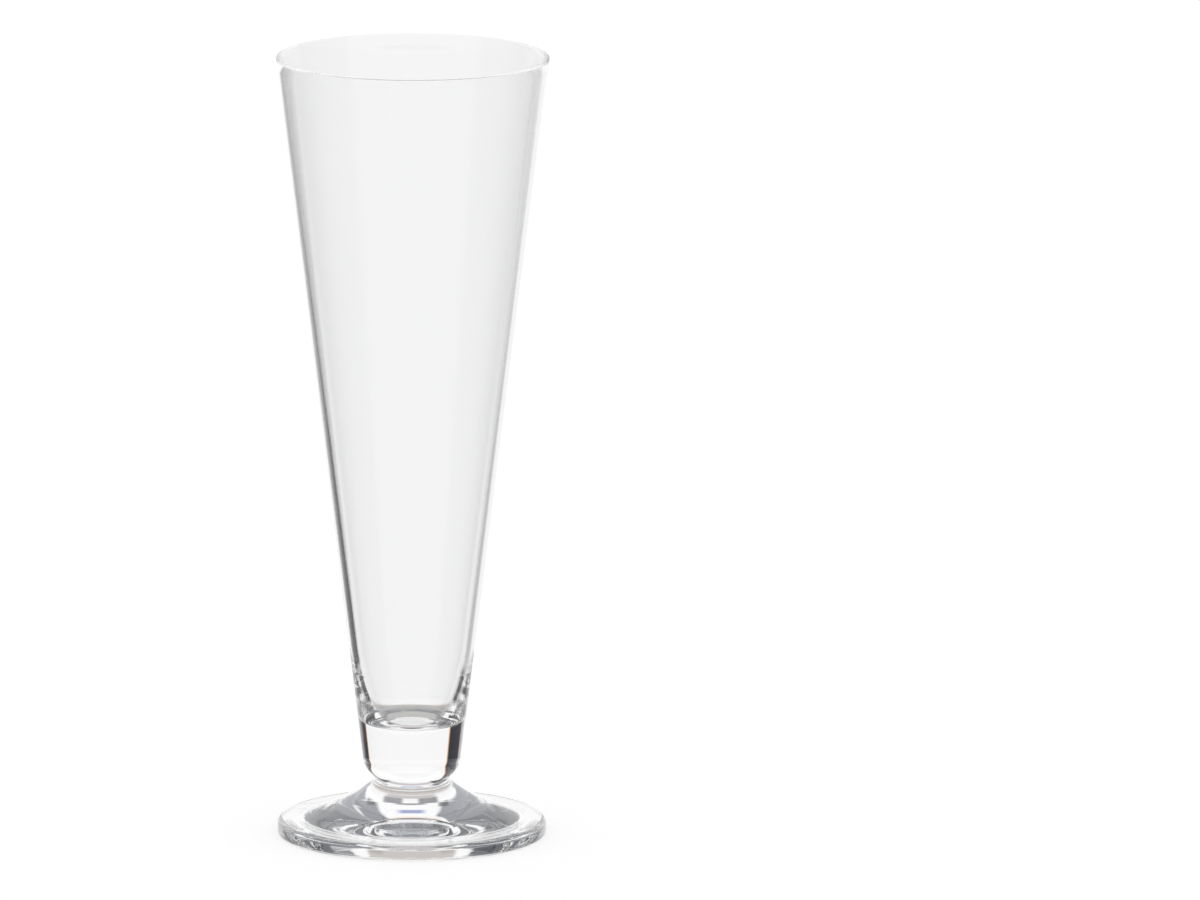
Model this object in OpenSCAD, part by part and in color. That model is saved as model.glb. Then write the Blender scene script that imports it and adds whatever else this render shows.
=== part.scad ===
// Pilsner glass: a tall conical bowl, a short solid stem and a round foot, in clear glass.
// Each is a gather of its own and a solid of revolution, and they are fused on flat round seats.
// The axis of the glass is Z, and it stands on the plane Z = 0.

/* [Bowl] */
// Height of the bowl, from its seat on the stem to the rim
bowl_h = 204.5; // [150:0.5:250]
// Outer diameter at the rim
rim_d = 81.2; // [64:0.2:100]
// Outer diameter at the seat on the stem
seat_d = 31; // [28:0.2:38]
// Thickness of the wall at the rim, measured level
rim_t = 1.3; // [1:0.05:3]
// Thickness of the wall at the top of the heel, measured level
wall_t = 2.25; // [1.6:0.05:3.6]
// Thickness of the glass between the seat and the bottom of the cavity
floor_t = 3; // [2:0.1:8]
// Diameter of the flat bottom of the cavity
floor_d = 15; // [8:0.2:17]
// Radius between the flat bottom and the side of the cavity
floor_round = 3.5; // [1:0.1:4]
// Height of the heel, the stretch above the flat bottom where the wall thickens
heel_h = 24; // [14:0.5:45]

/* [Stem] */
// Height of the solid stem, from the foot to the seat of the bowl
stem_h = 14; // [9:0.5:26]
// Radius of the shoulder at the lower end of the stem
shoulder_round = 6.75; // [4:0.25:8]
// Depth of the groove between the stem and the foot, measured from the side of the stem
groove_depth = 3; // [1:0.1:4]
// Height of the upright bottom of the groove
groove_h = 1.3; // [0.2:0.1:3]

/* [Foot] */
// Height of the foot, from the table to the stem
foot_h = 16.5; // [12:0.5:24]
// Outer diameter of the foot
foot_d = 80.2; // [68:0.2:100]
// Angle of the flare below level where it leaves the groove
flare_lean = 57; // [30:1:75]
// Reach of the steep upper end of the flare
flare_top_reach = 4.7; // [2:0.1:8]
// Reach of the shallow lower end of the flare
flare_low_reach = 2.5; // [1:0.1:9]
// Width of the flat outer ring of the foot, from the end of the flare to the edge
ring_w = 7.5; // [5:0.25:12]
// Thickness of the foot at the inner side of the flat ring
ring_t = 5.2; // [4:0.1:7]
// How far the flat ring falls towards the edge
ring_fall = 0.5; // [0:0.05:1]
// Radius of the upper corner of the edge
edge_top_round = 1.8; // [0.6:0.1:2]
// Radius of the lower corner of the edge
edge_low_round = 0.9; // [0.3:0.1:1.2]
// Width of the flat rim under the foot that the glass rests on
rest_w = 4; // [2:0.25:8]
// Height of the hollow under the foot at its centre
hollow_h = 1.2; // [0.4:0.1:3]

/* [Hidden] */

// Straight pieces that a round corner and a long curve are drawn with
CORNER_STEPS = 12;
CURVE_STEPS = 30;
$fn = 120;

GLASS = [0.86, 0.9, 0.91, 0.45];

// Slope of the heel where it leaves the round at the flat bottom, measured from upright
HEEL_LEAN = 48;
// Reach of the heel's curve at its two ends, as shares of the height that it climbs
heel_end_shares = [0.12, 0.55];

rim_r = rim_d / 2;
seat_r = seat_d / 2;
floor_r = floor_d / 2;
foot_r = foot_d / 2;

seat_z = foot_h + stem_h;
floor_z = seat_z + floor_t;
heel_z = floor_z + heel_h;
rim_z = seat_z + bowl_h;

// Side of the bowl and the stem: one straight line from the rim down to the shoulder
cone_slope = (rim_r - seat_r) / bowl_h;
cone_lean = atan(cone_slope);
function cone_r(z) = seat_r + (z - seat_z) * cone_slope;

// The shoulder runs smoothly out of the side and turns in to the groove that stem and foot share
shoulder_turn = acos(1 / cos(cone_lean) - groove_depth / shoulder_round);
shoulder_z = foot_h + groove_h + shoulder_round * sin(shoulder_turn);
neck_r = cone_r(shoulder_z) - groove_depth;

// Points of an arc about a centre, from one angle to another
function arc(centre, radius, from, to, steps = CORNER_STEPS) =
    [for (i = [0 : steps]) let (a = from + (to - from) * i / steps)
        [centre.x + radius * cos(a), centre.y + radius * sin(a)]];

// Points of a cubic curve from one end to the other, pulled towards its two handles
function curve(start, start_pull, end_pull, end, steps = CURVE_STEPS) =
    [for (i = [0 : steps]) let (t = i / steps, u = 1 - t)
        u ^ 3 * start + 3 * u ^ 2 * t * start_pull + 3 * u * t ^ 2 * end_pull + t ^ 3 * end];

module bowl() {
    // The rim is fire-polished to a half round that meets both sides of the wall smoothly
    rim_round = rim_t * cos(cone_lean) / 2;
    rim_mid_z = rim_z - rim_round;
    rim_centre = [cone_r(rim_mid_z) - rim_t / 2, rim_mid_z];

    // The wall thickens evenly from the rim to the heel, and then quickly to the flat bottom
    heel_top = [cone_r(heel_z) - wall_t, heel_z];
    heel_end = [floor_r + floor_round * cos(HEEL_LEAN), floor_z + floor_round * (1 - sin(HEEL_LEAN))];
    heel_climb = heel_top.y - heel_end.y;
    wall_slope = (rim_centre.x - rim_t / 2 - heel_top.x) / (rim_centre.y - heel_top.y);

    color(GLASS)
    rotate_extrude()
    polygon(concat(
        [[0, seat_z], [seat_r, seat_z]],
        arc(rim_centre, rim_round, -cone_lean, 180 - cone_lean, 2 * CORNER_STEPS),
        curve(heel_top,
              heel_top - heel_end_shares[1] * heel_climb * [wall_slope, 1],
              heel_end + heel_end_shares[0] * heel_climb * [sin(HEEL_LEAN), cos(HEEL_LEAN)],
              heel_end),
        arc([floor_r, floor_z + floor_round], floor_round, -HEEL_LEAN, -90),
        [[0, floor_z]]
    ));
}

module stem() {
    color(GLASS)
    rotate_extrude()
    polygon(concat(
        [[0, foot_h], [neck_r, foot_h]],
        arc([cone_r(shoulder_z) - shoulder_round / cos(cone_lean), shoulder_z], shoulder_round,
            -shoulder_turn, -cone_lean),
        [[seat_r, seat_z], [0, seat_z]]
    ));
}

module foot() {
    ring_inner = [foot_r - ring_w, ring_t];
    edge_z = ring_t - ring_fall;
    rest_r = foot_r - edge_low_round - rest_w;
    // Centre and radius of the shallow dome under the foot
    hollow_round = (rest_r ^ 2 + hollow_h ^ 2) / (2 * hollow_h);
    hollow_angle = asin(rest_r / hollow_round);

    color(GLASS)
    rotate_extrude()
    polygon(concat(
        [[0, foot_h]],
        curve([neck_r, foot_h],
              [neck_r + flare_top_reach * cos(flare_lean), foot_h - flare_top_reach * sin(flare_lean)],
              ring_inner + flare_low_reach * [-1, ring_fall / ring_w],
              ring_inner),
        arc([foot_r - edge_top_round, edge_z - edge_top_round], edge_top_round, 90, 0),
        arc([foot_r - edge_low_round, edge_low_round], edge_low_round, 0, -90),
        arc([0, hollow_h - hollow_round], hollow_round, 90 - hollow_angle, 90, CURVE_STEPS)
    ));
}

bowl();
stem();
foot();
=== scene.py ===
import math

import bpy
import numpy as np
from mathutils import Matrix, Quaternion, Vector


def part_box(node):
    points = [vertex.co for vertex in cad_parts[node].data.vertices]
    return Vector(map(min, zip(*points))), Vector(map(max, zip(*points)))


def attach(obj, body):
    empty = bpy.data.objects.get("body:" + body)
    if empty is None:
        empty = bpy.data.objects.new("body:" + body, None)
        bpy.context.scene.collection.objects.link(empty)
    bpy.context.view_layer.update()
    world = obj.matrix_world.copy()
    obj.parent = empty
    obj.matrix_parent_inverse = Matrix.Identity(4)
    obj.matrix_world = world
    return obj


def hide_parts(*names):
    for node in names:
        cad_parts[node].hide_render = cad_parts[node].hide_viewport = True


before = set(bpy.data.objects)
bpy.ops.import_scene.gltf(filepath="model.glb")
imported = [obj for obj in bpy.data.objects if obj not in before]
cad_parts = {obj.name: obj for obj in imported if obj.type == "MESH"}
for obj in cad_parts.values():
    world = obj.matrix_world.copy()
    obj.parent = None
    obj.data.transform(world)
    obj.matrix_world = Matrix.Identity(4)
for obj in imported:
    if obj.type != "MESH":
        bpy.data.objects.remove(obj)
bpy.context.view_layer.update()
root_body = "root"

# Camera. It stands five metres off with a long lens, a little above the rim, and looks at the middle of
# the glass from straight in front. The glass keeps the place in the frame that it has in the photograph,
# where its axis leans a fifth of a degree to the right.
CAMERA_DISTANCE = 5.0
CAMERA_ELEVATION = math.radians(11.31)
CAMERA_ROLL = math.radians(0.2)
SENSOR_WIDTH_MM = 36.0
CLIP_NEAR = 0.1
CLIP_FAR = 100.0
FRAME_WIDTH_PX = 1200
FRAME_CENTRE_PX = (600, 450)
PX_PER_METRE = 3366.5
AXIS_PX = 412.3
MIDDLE_PX = 445.9
LIGHT_BOUNCES = 600

middle_z = (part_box("foot")[0].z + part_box("bowl")[1].z) / 2
back = Vector((0, -math.cos(CAMERA_ELEVATION), math.sin(CAMERA_ELEVATION)))
roll = Quaternion(-back, -CAMERA_ROLL)
right = roll @ Vector((1, 0, 0))
up = roll @ Vector((0, math.sin(CAMERA_ELEVATION), math.cos(CAMERA_ELEVATION)))
aim = Vector((0, 0, middle_z))
aim += right * ((FRAME_CENTRE_PX[0] - AXIS_PX) / PX_PER_METRE)
aim -= up * ((FRAME_CENTRE_PX[1] - MIDDLE_PX) / PX_PER_METRE)

camera_data = bpy.data.cameras.new("camera")
camera_data.sensor_width = SENSOR_WIDTH_MM
camera_data.lens = SENSOR_WIDTH_MM * PX_PER_METRE * CAMERA_DISTANCE / FRAME_WIDTH_PX
camera_data.clip_start = CLIP_NEAR
camera_data.clip_end = CLIP_FAR
camera = bpy.data.objects.new("camera", camera_data)
camera.location = aim + back * CAMERA_DISTANCE
camera.rotation_mode = "QUATERNION"
camera.rotation_quaternion = roll @ (-back).to_track_quat("-Z", "Y")
bpy.context.scene.collection.objects.link(camera)
bpy.context.scene.camera = camera
bpy.context.scene.view_settings.view_transform = "Standard"
# Light turns many times inside the rim and the foot before it comes out
for kind in ("max_bounces", "glossy_bounces", "transmission_bounces", "transparent_max_bounces"):
    setattr(bpy.context.scene.cycles, kind, LIGHT_BOUNCES)

# Studio. The glass is lit by a white room that the camera sees as plain white. What the glass mirrors and
# bends shows a white backdrop between dark flags, as glassware is lit so that its edges draw themselves.
WHITE = (1, 1, 1, 1)
# Flags that begin or end at half a turn have no soft side there, because they go on round the back
HALF_TURN = 180
# The surfaces that light has met are counted in whole numbers, so limits lie half a step outside them
HALF_STEP = 0.5

# Each flag: bearing from, bearing to, height from, height to, softness of its sides, of its top and bottom,
# how many surfaces of glass the light may have met since the camera (fewest, most), and the shares of red,
# green and blue light that it takes away. Bearings and heights are in degrees as seen from the glass.
# Bearing 0 is straight behind it, and bearings grow to the right.
FLAGS = [
    # Dark bands at the sides of the stem, with an orange fringe
    (-60.0, -35.5, -12, 60, 1.2, 3, 2, 2, (0.97, 0.97, 0.96)),
    (-74.0, -58.0, -12, 60, 3.0, 3, 2, 2, (0.65, 0.65, 0.65)),
    (-36.2, -34.2, -12, 60, 0.6, 3, 2, 2, (0.1, 0.45, 0.75)),
    (49.0, 80.0, -12, 60, 1.2, 3, 2, 2, (0.97, 0.97, 0.96)),
    (78.0, 105.0, -12, 60, 3.0, 3, 2, 2, (0.9, 0.9, 0.89)),
    (47.8, 49.8, -12, 60, 0.6, 3, 2, 2, (0.1, 0.45, 0.75)),
    # Table, seen through the back of the bowl
    (-180.0, 180.0, -90, -9, 1, 1, 2, 2, (0.06, 0.06, 0.06)),
    # Left and right edges of the wall
    (-50.0, -17.0, -23, -11, 4, 2, 3, 3, (0.94, 0.95, 0.95)),
    (-95.0, -60.0, 26.0, 34, 3, 1, 40, 999, (0.97, 0.97, 0.97)),
    (-180.0, -173.0, -34, -27, 1.5, 1.5, 20, 30, (0.8, 0.8, 0.8)),
    (-62.0, -40.0, 27.5, 34, 3, 1, 40, 999, (0.8, 0.81, 0.82)),
    (-145.0, -120.0, 34, 46, 4, 2, 30, 999, (0.85, 0.86, 0.87)),
    (8.0, 50.0, -23, -11, 4, 3, 3, 3, (0.12, 0.12, 0.11)),
    (29.0, 50.0, -23, -11, 5, 3, 3, 3, (0.4, 0.4, 0.39)),
    (40.0, 95.0, 15, 34, 3, 1, 40, 999, (0.2, 0.2, 0.2)),
    # Far side of the lip, near its ends
    (66.0, 95.0, -58, -45, 4, 1, 7, 10, (0.85, 0.85, 0.82)),
    (-95.0, -66.0, -58, -45, 4, 1, 7, 10, (0.7, 0.7, 0.68)),
    # Foot: the flare at both sides of its bright window
    (15.0, 30.0, 11, 30, 1.5, 1.2, 3, 3, (0.72, 0.71, 0.68)),
    (30.0, 38.0, 2, 22, 1.5, 3, 3, 3, (0.66, 0.65, 0.62)),
    (16.5, 21.0, 9.5, 12.5, 1, 1, 3, 3, (0.8, 0.8, 0.8)),
    (-38.0, -14.0, 9, 24, 1.5, 1.5, 3, 3, (0.72, 0.71, 0.68)),
    (-42.0, -28.0, 0, 10, 2.5, 2, 3, 3, (0.66, 0.65, 0.62)),
    (-17.5, -12.5, 8, 13, 1, 1, 3, 3, (0.7, 0.7, 0.68)),
    # Foot: what stands in the bright window, from its lower edge up
    (-22.0, 22.0, 28, 30.2, 3, 0.7, 3, 3, (0.0, 0.25, 0.42)),
    (-30.0, 30.0, 31, 38, 4, 1, 3, 3, (0.78, 0.79, 0.76)),
    (-6.5, 5.5, 17, 21.5, 2.5, 1.2, 3, 3, (0.66, 0.6, 0.36)),
    (-7.0, 7.0, 7.6, 10.2, 2, 0.7, 3, 3, (0.85, 0.84, 0.81)),
    (3.5, 12.5, -1, 8, 1.2, 1, 3, 3, (0.68, 0.68, 0.66)),
    (-12.5, -3.5, -1, 8, 1.2, 1, 3, 3, (0.7, 0.7, 0.68)),
    (-12.0, 12.0, -11, -1, 2, 1, 3, 3, (0.4, 0.43, 0.42)),
    (-40.0, 40.0, -39, -28, 4, 2, 3, 3, (0.4, 0.44, 0.43)),
    (-75.0, 75.0, 45, 90, 10, 4, 3, 3, (0.38, 0.42, 0.42)),
    # Foot: its edge
    (33.0, 48.0, -11, 6, 3, 2, 4, 5, (0.6, 0.6, 0.6)),
    (-48.0, -33.0, -11, 6, 3, 2, 4, 5, (0.75, 0.75, 0.75)),
    (-60.0, 60.0, -90, -38, 6, 3, 4, 5, (0.38, 0.41, 0.43)),
    (-180.0, -166.0, -16, 26, 4, 3, 9, 12, (0.62, 0.625, 0.62)),
    (166.0, 180.0, -16, 26, 4, 3, 10, 12, (0.85, 0.85, 0.85)),
    # Foot of the stem and heel of the bowl
    (29.0, 56.0, -42, -24, 2, 3, 3, 3, (0.88, 0.88, 0.88)),
    (-46.0, -25.0, -42, -24, 2, 3, 3, 3, (0.85, 0.85, 0.85)),
    (60.0, 112.0, -33, 9, 2, 3, 4, 4, (0.88, 0.88, 0.88)),
    (108.0, 146.0, -14, 9, 4, 2, 4, 4, (0.88, 0.88, 0.88)),
    (-146.0, -130.0, -22, 4, 4, 3, 4, 4, (0.88, 0.88, 0.88)),
    (-50.0, -30.0, -10, 35, 4, 4, 5, 5, (0.7, 0.7, 0.69)),
    (-40.0, 40.0, -52, -38, 3, 2, 4, 4, (0.18, 0.18, 0.19)),
    (-180.0, 180.0, -90, -70, 3, 3, 3, 3, (0.88, 0.88, 0.88)),
    (-155.0, -75.0, 37, 64, 5, 3, 13, 26, (0.88, 0.88, 0.88)),
    (75.0, 155.0, 37, 64, 5, 3, 13, 26, (0.88, 0.88, 0.88)),
    (-130.0, -80.0, -33, -12, 2, 3, 4, 4, (0.9, 0.905, 0.91)),
    (-82.0, -60.0, -24, -12, 2, 2, 4, 4, (0.88, 0.885, 0.89)),
    # What is left after several turns inside the glass
    (-120.0, -44.0, -60, 35, 4, 2, 5, 5, (0.7, 0.695, 0.68)),
    (44.0, 120.0, -60, 35, 4, 3, 5, 5, (0.68, 0.675, 0.66)),
    (-30.0, 30.0, 22, 48, 3, 3, 5, 5, (0.8, 0.79, 0.76)),
    (-180.0, 180.0, 50, 90, 1, 4, 4, 6, (0.7, 0.69, 0.66)),
    (-44.0, 44.0, -60, 50, 5, 4, 6, 12, (0.5, 0.5, 0.49)),
    (-180.0, -44.0, -60, 50, 5, 4, 6, 12, (0.84, 0.835, 0.82)),
    (44.0, 160.0, -60, 50, 5, 4, 6, 12, (0.81, 0.805, 0.79)),
    (160.0, 180.0, -60, 50, 5, 4, 6, 8, (0.81, 0.805, 0.79)),
    (-85.0, -44.0, 5, 40, 3, 3, 7, 7, (0.55, 0.55, 0.54)),
    (44.0, 85.0, 5, 40, 3, 3, 7, 7, (0.55, 0.55, 0.54)),
    (-180.0, 180.0, -90, -58, 1, 4, 6, 12, (0.62, 0.63, 0.64)),
    (-180.0, 180.0, -8, 33, 1, 3, 14, 49, (0.92, 0.92, 0.91)),
    (-180.0, -150.0, -8, 33, 1, 3, 13, 13, (0.84, 0.84, 0.83)),
    (150.0, 180.0, -8, 33, 1, 3, 13, 13, (0.84, 0.84, 0.83)),
    (-180.0, 180.0, -60, -38, 1, 3, 7, 99, (0.08, 0.08, 0.08)),
    # The dim side of the room behind the camera, in the faces that mirror it
    (-180.0, -38.0, -60, -5, 8, 3, 1, 1, (0.88, 0.875, 0.87)),
    (38.0, 180.0, -60, -5, 8, 3, 1, 1, (0.88, 0.875, 0.87)),
    (-180.0, -70.0, -3, 25, 8, 3, 1, 1, (0.5, 0.495, 0.49)),
    (70.0, 180.0, -3, 25, 8, 3, 1, 1, (0.5, 0.495, 0.49)),
    (-180.0, -60.0, -60, 26, 12, 4, 3, 3, (0.75, 0.745, 0.74)),
    (60.0, 180.0, -60, 26, 12, 4, 3, 3, (0.75, 0.745, 0.74)),
]


def feed(tree, value, socket):
    """Links the value to the socket if it is a socket itself, and otherwise sets it there."""
    if isinstance(value, bpy.types.NodeSocket):
        tree.links.new(value, socket)
    else:
        socket.default_value = value


def math_node(tree, operation, first, second=None):
    """The result of one Math node, whose inputs are sockets or numbers."""
    node = tree.nodes.new("ShaderNodeMath")
    node.operation = operation
    feed(tree, first, node.inputs[0])
    if second is not None:
        feed(tree, second, node.inputs[1])
    return node.outputs[0]


def product(tree, *values):
    """The values multiplied with each other."""
    result = values[0]
    for value in values[1:]:
        result = math_node(tree, "MULTIPLY", result, value)
    return result


def mix_colour(tree, factor, first, second, blend="MIX"):
    """The first colour at factor 0 and the second at 1; with MULTIPLY, factor 1 gives their product."""
    node = tree.nodes.new("ShaderNodeMix")
    node.data_type = "RGBA"
    node.blend_type = blend
    for index, value in ((0, factor), (6, first), (7, second)):
        feed(tree, value, node.inputs[index])
    return node.outputs[2]


def smooth_step(tree, value, low, high):
    """0 below low, 1 above high and a smooth S between; low may be the greater one, which turns it round."""
    node = tree.nodes.new("ShaderNodeMapRange")
    node.interpolation_type = "SMOOTHSTEP"
    tree.links.new(value, node.inputs["Value"])
    rising = high > low
    node.inputs["From Min"].default_value = min(low, high)
    node.inputs["From Max"].default_value = max(low, high)
    node.inputs["To Min"].default_value = 0.0 if rising else 1.0
    node.inputs["To Max"].default_value = 1.0 if rising else 0.0
    return node.outputs["Result"]


def seen_in_glass(tree, path):
    """1 where light has been mirrored or bent by the glass, and 0 where the camera sees straight."""
    return math_node(tree, "MAXIMUM", path.outputs["Is Glossy Ray"], path.outputs["Is Transmission Ray"])


world = bpy.data.worlds.new("studio")
bpy.context.scene.world = world
world.use_nodes = True
# Rays aren't aimed at the room, because its flags depend on the surfaces that light has met before
world.cycles.sampling_method = "NONE"
tree = world.node_tree
tree.nodes.clear()
coordinates = tree.nodes.new("ShaderNodeTexCoord")
split = tree.nodes.new("ShaderNodeSeparateXYZ")
tree.links.new(coordinates.outputs["Generated"], split.inputs[0])
bearing = math_node(tree, "ARCTAN2", split.outputs["X"], split.outputs["Y"])
bearing = product(tree, bearing, math.degrees(1))
height = math_node(tree, "ARCSINE", split.outputs["Z"])
height = product(tree, height, math.degrees(1))
path = tree.nodes.new("ShaderNodeLightPath")
# Cycles counts the light of the world one step further on than the last surface
met = math_node(tree, "SUBTRACT", path.outputs["Ray Depth"], 1)
room = WHITE
for from_bearing, to_bearing, from_height, to_height, side_soft, end_soft, fewest, most, shares in FLAGS:
    masks = [smooth_step(tree, height, from_height - end_soft, from_height + end_soft),
             smooth_step(tree, height, to_height + end_soft, to_height - end_soft)]
    if from_bearing > -HALF_TURN:
        masks.append(smooth_step(tree, bearing, from_bearing - side_soft, from_bearing + side_soft))
    if to_bearing < HALF_TURN:
        masks.append(smooth_step(tree, bearing, to_bearing + side_soft, to_bearing - side_soft))
    masks.append(math_node(tree, "GREATER_THAN", met, fewest - HALF_STEP))
    masks.append(math_node(tree, "LESS_THAN", met, most + HALF_STEP))
    flag = mix_colour(tree, product(tree, *masks), WHITE, tuple(1 - share for share in shares) + (1,))
    room = mix_colour(tree, 1.0, room, flag, "MULTIPLY")
seen = mix_colour(tree, seen_in_glass(tree, path), WHITE, room)
background = tree.nodes.new("ShaderNodeBackground")
tree.links.new(seen, background.inputs["Color"])
background.inputs["Strength"].default_value = 1.0
output = tree.nodes.new("ShaderNodeOutputWorld")
tree.links.new(background.outputs[0], output.inputs["Surface"])

# Floor. A matt white table top without an edge in sight. It takes the soft shadow of the glass, and what
# the glass mirrors and bends goes through it to the white room.
FLOOR_HALF_WIDTH = 30.0
FLOOR_DROP = 0.0001
FLOOR_WHITE = 0.3
FLOOR_LIGHT = 1.02

floor_data = bpy.data.meshes.new("floor")
corners = [(-1, -1), (1, -1), (1, 1), (-1, 1)]
floor_data.from_pydata([(x * FLOOR_HALF_WIDTH, y * FLOOR_HALF_WIDTH, -FLOOR_DROP) for x, y in corners], [],
                       [(0, 1, 2, 3)])
floor = bpy.data.objects.new("floor", floor_data)
bpy.context.scene.collection.objects.link(floor)

table_top = bpy.data.materials.new("table_top")
table_top.use_nodes = True
tree = table_top.node_tree
tree.nodes.clear()
matt = tree.nodes.new("ShaderNodeBsdfDiffuse")
matt.inputs["Color"].default_value = (FLOOR_WHITE, FLOOR_WHITE, FLOOR_WHITE, 1)
lift = tree.nodes.new("ShaderNodeEmission")
lift.inputs["Strength"].default_value = FLOOR_LIGHT - FLOOR_WHITE
lit = tree.nodes.new("ShaderNodeAddShader")
tree.links.new(matt.outputs[0], lit.inputs[0])
tree.links.new(lift.outputs[0], lit.inputs[1])
clear = tree.nodes.new("ShaderNodeBsdfTransparent")
path = tree.nodes.new("ShaderNodeLightPath")
pick = tree.nodes.new("ShaderNodeMixShader")
tree.links.new(seen_in_glass(tree, path), pick.inputs[0])
tree.links.new(lit.outputs[0], pick.inputs[1])
tree.links.new(clear.outputs[0], pick.inputs[2])
output = tree.nodes.new("ShaderNodeOutputMaterial")
tree.links.new(pick.outputs[0], output.inputs["Surface"])
floor_data.materials.append(table_top)

# Bowl. A gather of clear glass blown into a cone mould, cut off at the rim and fire-polished. Its wall
# thins towards the rim, and it thickens at the heel round the small flat bottom of the cavity.
RIM_WALL = 0.0013
HEEL_WALL = 0.00225
HEEL_HEIGHT = 0.024
CAVITY_FLOOR_RADIUS = 0.0075
CAVITY_FLOOR_ROUND = 0.0035
FLOOR_GLASS = 0.003
# 0.02 mm less than the part's own, so that the smoother round doesn't pass the CAD's box
RIM_RADIUS = 0.04058
# Slope of the heel where it leaves the round of the cavity's floor, measured from upright, and the reach of
# its curve at its lower and its upper end, as shares of the height that it climbs
HEEL_LEAN = math.radians(48)
HEEL_SHARES = (0.12, 0.55)
# Steps round the axis, and along the stretches of the bowl's outline
SEGMENTS = 360
SEAT_STEPS = 2
WALL_STEPS = 60
LIP_STEPS = 20
HEEL_STEPS = 60
FLOOR_ROUND_STEPS = 12
CAVITY_FLOOR_STEPS = 4
# Edges that turn by more than this stay sharp, and a point that is this near a seat's height lies on it
SHARP_ANGLE = math.radians(35)
SAME_HEIGHT = 0.0000001
GLASS_TINT = (0.999, 0.999, 0.999, 1)
GLASS_TINT_DEEP = (0.996, 0.997, 0.997, 1)
GLASS_IOR = 1.5
MOST_ROUGHNESS = 0.012
# Scale, detail and distortion of each noise, and where on it the patches begin and end
PATCH_NOISE = (60, 3, 0)
STREAK_NOISE = (1, 2, 0)
WAVE_NOISE = (110, 1, 0)
SWIRL_NOISE = (420, 1, 2.5)
PATCH_RANGE = (0.35, 0.65)
STREAKS_ROUND = 9.0
STREAKS_UP = 14.0
STREAK_HEIGHT = 0.000005
FOLD_Z = 0.0385
FOLD_REACH = 0.0045
FOLD_HEIGHT = 0.00003
# The folds come in between these two shares of X in the bearing, at both sides of the bowl
FOLD_SIDES = (0.75, 0.95)
CAVITY_RING_Z = 0.0495
CAVITY_RING_HALF_WIDTH = 0.0005
CAVITY_RING_HEIGHT = 0.00001
# The ring stays on the side of the cavity: it is gone at the first of these radii and whole at the second
CAVITY_RING_END = (0.0157, 0.0152)


def arc(centre, radius, start, end, steps):
    """Points on a circle about centre, at even angles from start to end in radians."""
    angle = np.linspace(start, end, steps + 1)
    return np.stack([centre[0] + radius * np.cos(angle), centre[1] + radius * np.sin(angle)], axis=1)


def curve(start, start_pull, end_pull, end, steps):
    """Cubic Bezier: the ends weigh (1-t)^3 and t^3, and the two pulls 3(1-t)^2 t and 3(1-t) t^2."""
    t = np.linspace(0, 1, steps + 1)[:, None]
    return ((1 - t) ** 3 * np.array(start) + 3 * (1 - t) ** 2 * t * np.array(start_pull)
            + 3 * (1 - t) * t ** 2 * np.array(end_pull) + t ** 3 * np.array(end))


def line(start, end, steps):
    """Points evenly spaced on a straight line."""
    t = np.linspace(0, 1, steps + 1)[:, None]
    return (1 - t) * np.array(start) + t * np.array(end)


def joined(*runs):
    """Runs of points end to end, without the point that a run shares with the one before."""
    points = [runs[0]]
    for run in runs[1:]:
        points.append(run[1:] if np.allclose(run[0], points[-1][-1]) else run)
    return np.concatenate(points)


def turned(name, outline, seat_heights):
    """Turns an outline (radius, height), which starts and ends on the axis, about Z. Point k at angle a is
    at (r cos a, r sin a, z). Faces whose corners all lie at a seat's height get the second material."""
    outline = np.asarray(outline, float)
    step = np.arange(SEGMENTS)
    after = (step + 1) % SEGMENTS
    angle = step * (2 * math.pi / SEGMENTS)
    ring_r, ring_z = outline[1:-1, 0], outline[1:-1, 1]
    rings = np.stack([ring_r[:, None] * np.cos(angle), ring_r[:, None] * np.sin(angle),
                      np.repeat(ring_z[:, None], SEGMENTS, axis=1)], axis=-1).reshape(-1, 3)
    poles = np.array([[0, 0, outline[0, 1]], [0, 0, outline[-1, 1]]])
    first_pole, last_pole = len(rings), len(rings) + 1
    ring = np.arange(len(ring_r) - 1)[:, None] * SEGMENTS
    quads = np.stack([ring + step, ring + after,
                      ring + SEGMENTS + after, ring + SEGMENTS + step], axis=-1).reshape(-1, 4)
    last_ring = (len(ring_r) - 1) * SEGMENTS
    first_fan = np.stack([np.full(SEGMENTS, first_pole), after, step], axis=-1)
    last_fan = np.stack([np.full(SEGMENTS, last_pole), last_ring + step, last_ring + after], axis=-1)
    faces = quads.tolist() + first_fan.tolist() + last_fan.tolist()
    mesh = bpy.data.meshes.new(name)
    mesh.from_pydata(np.concatenate([rings, poles]), [], faces)
    flat = np.zeros(len(outline) - 1, bool)
    for seat in seat_heights:
        level = np.isclose(outline[:, 1], seat, atol=SAME_HEIGHT)
        flat |= level[1:] & level[:-1]
    slots = np.concatenate([np.repeat(flat[1:-1], SEGMENTS), np.repeat(flat[0], SEGMENTS),
                            np.repeat(flat[-1], SEGMENTS)]).astype(np.int32)
    mesh.polygons.foreach_set("material_index", slots)
    mesh.shade_smooth()
    mesh.set_sharp_from_angle(angle=SHARP_ANGLE)
    mesh.update()
    piece = bpy.data.objects.new(name, mesh)
    bpy.context.scene.collection.objects.link(piece)
    return piece


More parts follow.
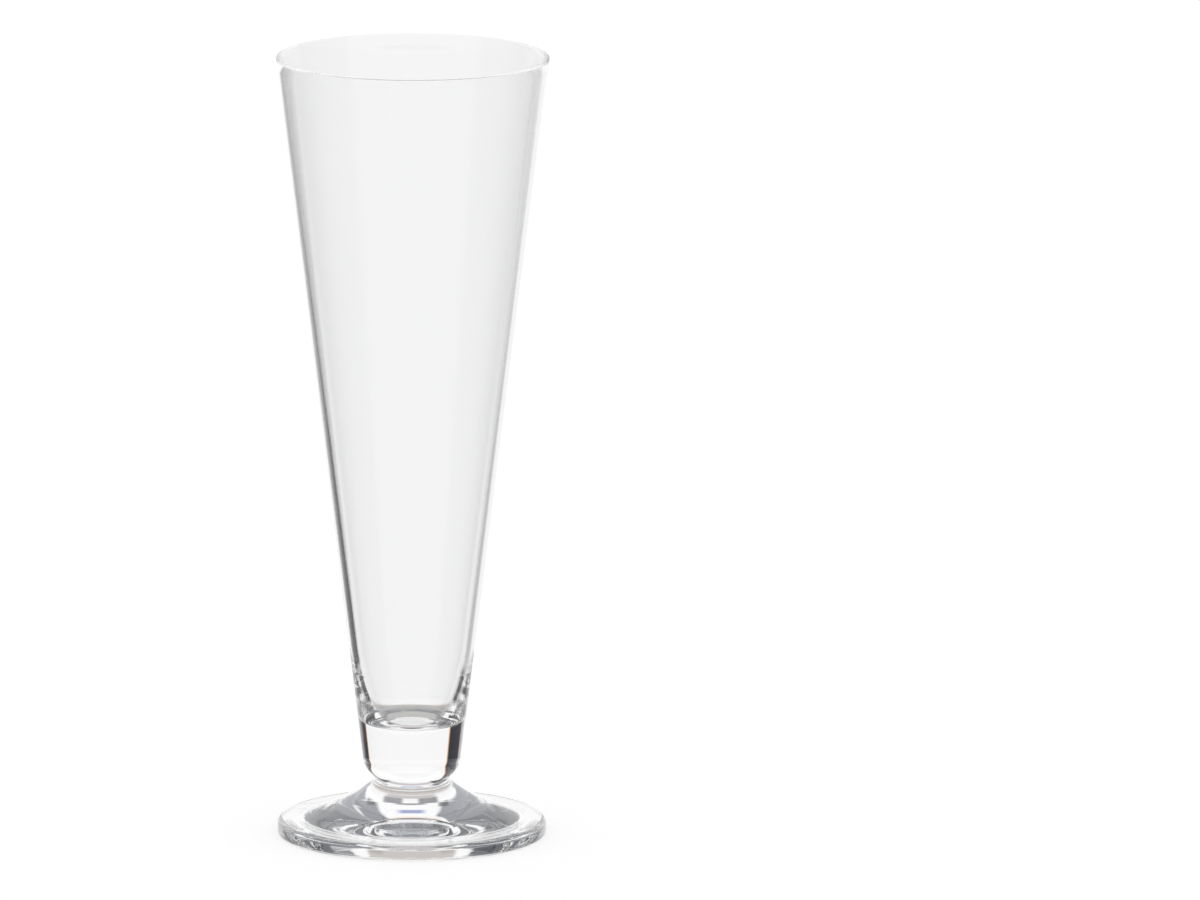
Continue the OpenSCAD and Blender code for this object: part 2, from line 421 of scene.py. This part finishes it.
def glass_surface():
    """Node group that the three gathers share. From a place on the glass it gives where that is (how far
    from the axis, how high, and the share of X in its bearing), noise drawn out into upright streaks, slow
    waves and tight swirls of 0 to 1, and a tint and a roughness that wander by a trace in soft patches."""
    group = bpy.data.node_groups.new("glass_surface", "ShaderNodeTree")
    group.interface.new_socket("Place", in_out="INPUT", socket_type="NodeSocketVector")
    for name in ("Radius", "Height", "Side", "Streaks", "Waves", "Swirls", "Roughness"):
        group.interface.new_socket(name, in_out="OUTPUT", socket_type="NodeSocketFloat")
    group.interface.new_socket("Tint", in_out="OUTPUT", socket_type="NodeSocketColor")
    given = group.nodes.new("NodeGroupInput").outputs["Place"]
    result = group.nodes.new("NodeGroupOutput")
    split = group.nodes.new("ShaderNodeSeparateXYZ")
    group.links.new(given, split.inputs[0])
    level = group.nodes.new("ShaderNodeCombineXYZ")
    group.links.new(split.outputs["X"], level.inputs["X"])
    group.links.new(split.outputs["Y"], level.inputs["Y"])
    reach = group.nodes.new("ShaderNodeVectorMath")
    reach.operation = "LENGTH"
    group.links.new(level.outputs[0], reach.inputs[0])
    toward = group.nodes.new("ShaderNodeVectorMath")
    toward.operation = "NORMALIZE"
    group.links.new(level.outputs[0], toward.inputs[0])
    bearing = group.nodes.new("ShaderNodeSeparateXYZ")
    group.links.new(toward.outputs[0], bearing.inputs[0])
    upright = group.nodes.new("ShaderNodeCombineXYZ")
    group.links.new(product(group, bearing.outputs["X"], STREAKS_ROUND), upright.inputs["X"])
    group.links.new(product(group, bearing.outputs["Y"], STREAKS_ROUND), upright.inputs["Y"])
    group.links.new(product(group, split.outputs["Z"], STREAKS_UP), upright.inputs["Z"])

    def noise(place, scale, detail, distortion):
        """The value of one Noise Texture."""
        texture = group.nodes.new("ShaderNodeTexNoise")
        texture.inputs["Scale"].default_value = scale
        texture.inputs["Detail"].default_value = detail
        texture.inputs["Distortion"].default_value = distortion
        group.links.new(place, texture.inputs["Vector"])
        return texture.outputs[0]

    patches = smooth_step(group, noise(given, *PATCH_NOISE), *PATCH_RANGE)
    group.links.new(reach.outputs["Value"], result.inputs["Radius"])
    group.links.new(split.outputs["Z"], result.inputs["Height"])
    group.links.new(bearing.outputs["X"], result.inputs["Side"])
    group.links.new(noise(upright.outputs[0], *STREAK_NOISE), result.inputs["Streaks"])
    group.links.new(noise(given, *WAVE_NOISE), result.inputs["Waves"])
    group.links.new(noise(given, *SWIRL_NOISE), result.inputs["Swirls"])
    group.links.new(product(group, patches, MOST_ROUGHNESS), result.inputs["Roughness"])
    group.links.new(mix_colour(group, patches, GLASS_TINT, GLASS_TINT_DEEP), result.inputs["Tint"])
    return group


def ridge(tree, value, middle, half_width, height):
    """A smooth ridge of the height where the value is middle, which ends at half_width to both sides."""
    away = math_node(tree, "ABSOLUTE", math_node(tree, "SUBTRACT", value, middle))
    return product(tree, smooth_step(tree, away, half_width, 0), height)


def clear_glass(name, relief):
    """Polished clear glass. The sum of relief's terms, which it makes from the tree and the shared group's
    outputs, is the height of the surface that tilts the normal, in metres as the bump's distance is 1."""
    material = bpy.data.materials.new(name)
    material.use_nodes = True
    tree = material.node_tree
    place = tree.nodes.new("ShaderNodeTexCoord").outputs["Object"]
    surface = tree.nodes.new("ShaderNodeGroup")
    surface.node_tree = shared_surface
    tree.links.new(place, surface.inputs["Place"])
    terms = relief(tree, surface.outputs)
    total = terms[0]
    for term in terms[1:]:
        total = math_node(tree, "ADD", total, term)
    bump = tree.nodes.new("ShaderNodeBump")
    bump.inputs["Strength"].default_value = 1.0
    bump.inputs["Distance"].default_value = 1.0
    tree.links.new(total, bump.inputs["Height"])
    shader = tree.nodes["Principled BSDF"]
    tree.links.new(surface.outputs["Tint"], shader.inputs["Base Color"])
    tree.links.new(surface.outputs["Roughness"], shader.inputs["Roughness"])
    tree.links.new(bump.outputs["Normal"], shader.inputs["Normal"])
    shader.inputs["IOR"].default_value = GLASS_IOR
    shader.inputs["Transmission Weight"].default_value = 1.0
    return material


def weld_folds(tree, surface):
    """The folds of hot glass just above the weld of bowl and stem: swirls in a low band, at the two sides."""
    near = ridge(tree, surface["Height"], FOLD_Z, FOLD_REACH, 1.0)
    sides = smooth_step(tree, math_node(tree, "ABSOLUTE", surface["Side"]), *FOLD_SIDES)
    return product(tree, near, sides, surface["Swirls"], FOLD_HEIGHT)


def bowl_relief(tree, surface):
    """Upright streaks left by the mould, the folds at the weld and one faint ring round the cavity."""
    ring = ridge(tree, surface["Height"], CAVITY_RING_Z, CAVITY_RING_HALF_WIDTH, CAVITY_RING_HEIGHT)
    inside = smooth_step(tree, surface["Radius"], *CAVITY_RING_END)
    return [product(tree, surface["Streaks"], STREAK_HEIGHT), weld_folds(tree, surface),
            product(tree, ring, inside)]


def fused_face(name):
    """The face where two gathers are fused: there is no surface left there to see."""
    material = bpy.data.materials.new(name)
    material.use_nodes = True
    tree = material.node_tree
    tree.nodes.clear()
    shader = tree.nodes.new("ShaderNodeBsdfTransparent")
    output = tree.nodes.new("ShaderNodeOutputMaterial")
    tree.links.new(shader.outputs[0], output.inputs["Surface"])
    return material


seat_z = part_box("stem")[1].z
rim_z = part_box("bowl")[1].z
seat_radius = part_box("stem")[1].x
bowl_height = rim_z - seat_z
cone_slope = (RIM_RADIUS - seat_radius) / bowl_height
cone_lean = math.atan(cone_slope)


def cone_radius(z):
    """Outer radius of the bowl and the stem: a straight line from the seat's radius to the rim's."""
    return seat_radius + (z - seat_z) * cone_slope


rim_round = RIM_WALL * math.cos(cone_lean) / 2
rim_mid_z = rim_z - rim_round
rim_centre = (cone_radius(rim_mid_z) - RIM_WALL / 2, rim_mid_z)
floor_z = seat_z + FLOOR_GLASS
heel_z = floor_z + HEEL_HEIGHT
heel_top = np.array([cone_radius(heel_z) - HEEL_WALL, heel_z])
heel_end = np.array([CAVITY_FLOOR_RADIUS + CAVITY_FLOOR_ROUND * math.cos(HEEL_LEAN),
                     floor_z + CAVITY_FLOOR_ROUND * (1 - math.sin(HEEL_LEAN))])
heel_climb = heel_top[1] - heel_end[1]
wall_slope = (rim_centre[0] - RIM_WALL / 2 - heel_top[0]) / (rim_centre[1] - heel_top[1])
lip = arc(rim_centre, rim_round, -cone_lean, math.pi - cone_lean, LIP_STEPS)
heel = curve(heel_top, heel_top - HEEL_SHARES[1] * heel_climb * np.array([wall_slope, 1]),
             heel_end + HEEL_SHARES[0] * heel_climb * np.array([math.sin(HEEL_LEAN), math.cos(HEEL_LEAN)]),
             heel_end, HEEL_STEPS)
bowl_outline = joined(
    line((0, seat_z), (seat_radius, seat_z), SEAT_STEPS),
    line((seat_radius, seat_z), lip[0], WALL_STEPS),
    lip,
    line(lip[-1], heel_top, WALL_STEPS),
    heel,
    arc((CAVITY_FLOOR_RADIUS, floor_z + CAVITY_FLOOR_ROUND), CAVITY_FLOOR_ROUND, -HEEL_LEAN, -math.pi / 2,
        FLOOR_ROUND_STEPS),
    line((CAVITY_FLOOR_RADIUS, floor_z), (0, floor_z), CAVITY_FLOOR_STEPS),
)
bowl = turned("bowl_glass", bowl_outline, [seat_z])
shared_surface = glass_surface()
bowl.data.materials.append(clear_glass("bowl_glass", bowl_relief))
bowl.data.materials.append(fused_face("bowl_weld"))
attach(bowl, root_body)
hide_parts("bowl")

# Stem. A short solid post of clear glass, drawn from a gather of its own and fused to the bottom of the
# bowl. Its side carries on the cone, and its rounded shoulder turns in to the groove above the foot.
SHOULDER_ROUND = 0.00675
GROOVE_DEPTH = 0.003
GROOVE_HEIGHT = 0.0013
GROOVE_STEPS = 6
SHOULDER_STEPS = 40
STEM_SIDE_STEPS = 12
STEM_STREAK_HEIGHT = 0.0000025
STEM_WAVE_HEIGHT = 0.000004

foot_top_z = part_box("foot")[1].z
shoulder_turn = math.acos(1 / math.cos(cone_lean) - GROOVE_DEPTH / SHOULDER_ROUND)
shoulder_z = foot_top_z + GROOVE_HEIGHT + SHOULDER_ROUND * math.sin(shoulder_turn)
neck_radius = cone_radius(shoulder_z) - GROOVE_DEPTH
shoulder = arc((cone_radius(shoulder_z) - SHOULDER_ROUND / math.cos(cone_lean), shoulder_z), SHOULDER_ROUND,
               -shoulder_turn, -cone_lean, SHOULDER_STEPS)


def stem_relief(tree, surface):
    """The streaks of the side, fainter than on the bowl, and slow waves."""
    return [product(tree, surface["Streaks"], STEM_STREAK_HEIGHT),
            product(tree, surface["Waves"], STEM_WAVE_HEIGHT)]


stem_outline = joined(
    line((0, foot_top_z), (neck_radius, foot_top_z), SEAT_STEPS),
    line((neck_radius, foot_top_z), shoulder[0], GROOVE_STEPS),
    shoulder,
    line(shoulder[-1], (seat_radius, seat_z), STEM_SIDE_STEPS),
    line((seat_radius, seat_z), (0, seat_z), SEAT_STEPS),
)
stem = turned("stem_glass", stem_outline, [foot_top_z, seat_z])
stem.data.materials.append(clear_glass("stem_glass", stem_relief))
stem.data.materials.append(fused_face("stem_weld"))
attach(stem, root_body)
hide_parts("stem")

# Foot. A round disc of clear glass, pressed in a split mould and fused to the stem. It flares up to the
# groove, ends in a flat ring with a rounded edge, and is slightly hollow underneath.
FLARE_LEAN = math.radians(57)
FLARE_TOP_REACH = 0.0047
FLARE_LOW_REACH = 0.0025
RING_WIDTH = 0.0075
RING_THICKNESS = 0.0052
RING_FALL = 0.0005
EDGE_TOP_ROUND = 0.0018
EDGE_LOW_ROUND = 0.0009
REST_WIDTH = 0.004
HOLLOW_HEIGHT = 0.0012
HOLLOW_STEPS = 40
REST_STEPS = 4
EDGE_LOW_STEPS = 12
EDGE_TOP_STEPS = 20
RING_STEPS = 8
FLARE_STEPS = 80
FOOT_WAVE_HEIGHT = 0.000004
PRESS_RING_RADII = (0.0198, 0.0335)
PRESS_RING_HALF_WIDTH = 0.0006
PRESS_RING_HEIGHT = 0.00001
# The seam's direction from the axis, measured from X, and the two radii and the two heights above the
# table between which it rises out of the foot
SEAM_ANGLE = math.radians(-28)
SEAM_RADII = (0.022, 0.026)
SEAM_HEIGHTS = (0.0022, 0.003)
SEAM_HALF_WIDTH = 0.00035
SEAM_RISE = 0.00008

foot_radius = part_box("foot")[1].x
ring_inner = np.array([foot_radius - RING_WIDTH, RING_THICKNESS])
edge_z = RING_THICKNESS - RING_FALL
edge_top_centre = (foot_radius - EDGE_TOP_ROUND, edge_z - EDGE_TOP_ROUND)
edge_low_centre = (foot_radius - EDGE_LOW_ROUND, EDGE_LOW_ROUND)
rest_radius = foot_radius - EDGE_LOW_ROUND - REST_WIDTH
hollow_round = (rest_radius ** 2 + HOLLOW_HEIGHT ** 2) / (2 * HOLLOW_HEIGHT)
hollow_angle = math.asin(rest_radius / hollow_round)
flare_low_pull = ring_inner + FLARE_LOW_REACH * np.array([-1, RING_FALL / RING_WIDTH])
flare_top_pull = np.array([neck_radius + FLARE_TOP_REACH * math.cos(FLARE_LEAN),
                           foot_top_z - FLARE_TOP_REACH * math.sin(FLARE_LEAN)])


def foot_relief(tree, surface):
    """Slow waves, two faint rings left by the press, and the seam of the split mould: a thin ridge on the
    upright plane through the axis at the seam's angle, from the end of the flare out to the edge."""
    terms = [product(tree, surface["Waves"], FOOT_WAVE_HEIGHT)]
    for radius in PRESS_RING_RADII:
        terms.append(ridge(tree, surface["Radius"], radius, PRESS_RING_HALF_WIDTH, PRESS_RING_HEIGHT))
    split = tree.nodes.new("ShaderNodeSeparateXYZ")
    tree.links.new(tree.nodes.new("ShaderNodeTexCoord").outputs["Object"], split.inputs[0])
    across = math_node(tree, "SUBTRACT", product(tree, split.outputs["X"], math.sin(SEAM_ANGLE)),
                       product(tree, split.outputs["Y"], math.cos(SEAM_ANGLE)))
    seam = ridge(tree, across, 0, SEAM_HALF_WIDTH, SEAM_RISE)
    outward = smooth_step(tree, surface["Radius"], *SEAM_RADII)
    above = smooth_step(tree, split.outputs["Z"], *SEAM_HEIGHTS)
    terms.append(product(tree, seam, outward, above))
    return terms


foot_outline = joined(
    arc((0, HOLLOW_HEIGHT - hollow_round), hollow_round, math.pi / 2, math.pi / 2 - hollow_angle,
        HOLLOW_STEPS),
    line((rest_radius, 0), (foot_radius - EDGE_LOW_ROUND, 0), REST_STEPS),
    arc(edge_low_centre, EDGE_LOW_ROUND, -math.pi / 2, 0, EDGE_LOW_STEPS),
    arc(edge_top_centre, EDGE_TOP_ROUND, 0, math.pi / 2, EDGE_TOP_STEPS),
    line((foot_radius - EDGE_TOP_ROUND, edge_z), ring_inner, RING_STEPS),
    curve(ring_inner, flare_low_pull, flare_top_pull, (neck_radius, foot_top_z), FLARE_STEPS),
    line((neck_radius, foot_top_z), (0, foot_top_z), SEAT_STEPS),
)
foot = turned("foot_glass", foot_outline, [foot_top_z])
foot.data.materials.append(clear_glass("foot_glass", foot_relief))
foot.data.materials.append(fused_face("foot_weld"))
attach(foot, root_body)
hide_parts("foot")
